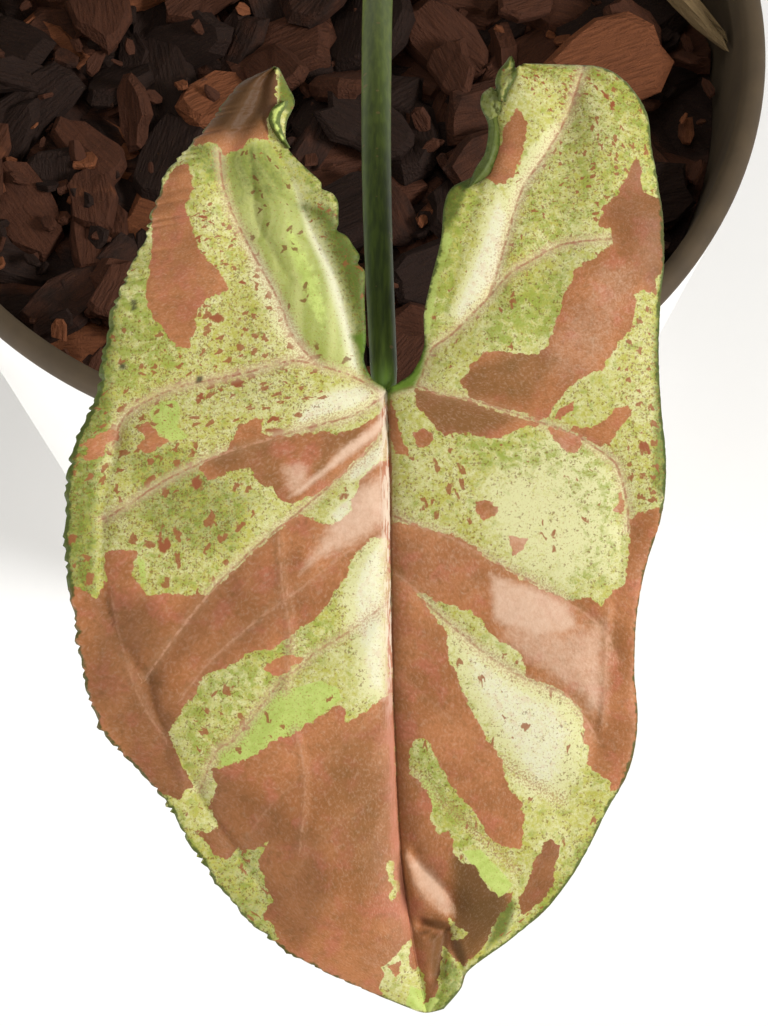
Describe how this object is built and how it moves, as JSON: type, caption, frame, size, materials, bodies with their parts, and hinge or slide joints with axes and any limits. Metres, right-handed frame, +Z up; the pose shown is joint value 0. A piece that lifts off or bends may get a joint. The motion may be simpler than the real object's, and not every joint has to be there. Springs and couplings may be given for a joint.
{
  "type": "potted confetti syngonium",
  "caption": "Small aroid house plant with arrow-shaped pink and lime leaves on long arching stalks, planted in coarse bark mix in a plain tapered white pot.",
  "frame": {"origin": "middle of the pot's flat underside, on the surface it stands on", "axes": "+Z up along the pot's axis, -Y towards the large front leaf, +X to the right when seen from that leaf"},
  "size_m": [0.2157, 0.2912, 0.227],
  "materials": {
    "pot": "satin white glaze",
    "bark": "rough, damp dark brown bark with some orange faces",
    "stem": "smooth green cane with papery tan scars",
    "stalk": "smooth, softly shiny green",
    "blade": "satin leaf, dusty pink patches on speckled lime",
    "new_leaf": "satin, pale pink and lime"
  },
  "bodies": {
    "root": {"pot": "pot", "bark_mix": "bark", "stem": "stem", "front_stalk": "stalk", "front_blade": "blade", "left_stalk": "stalk", "left_blade": "blade", "back_left_stalk": "stalk", "back_left_blade": "blade", "back_right_stalk": "stalk", "back_right_blade": "blade", "right_stalk": "stalk", "right_blade": "blade", "new_leaf": "new_leaf"}
  },
  "joints": []
}
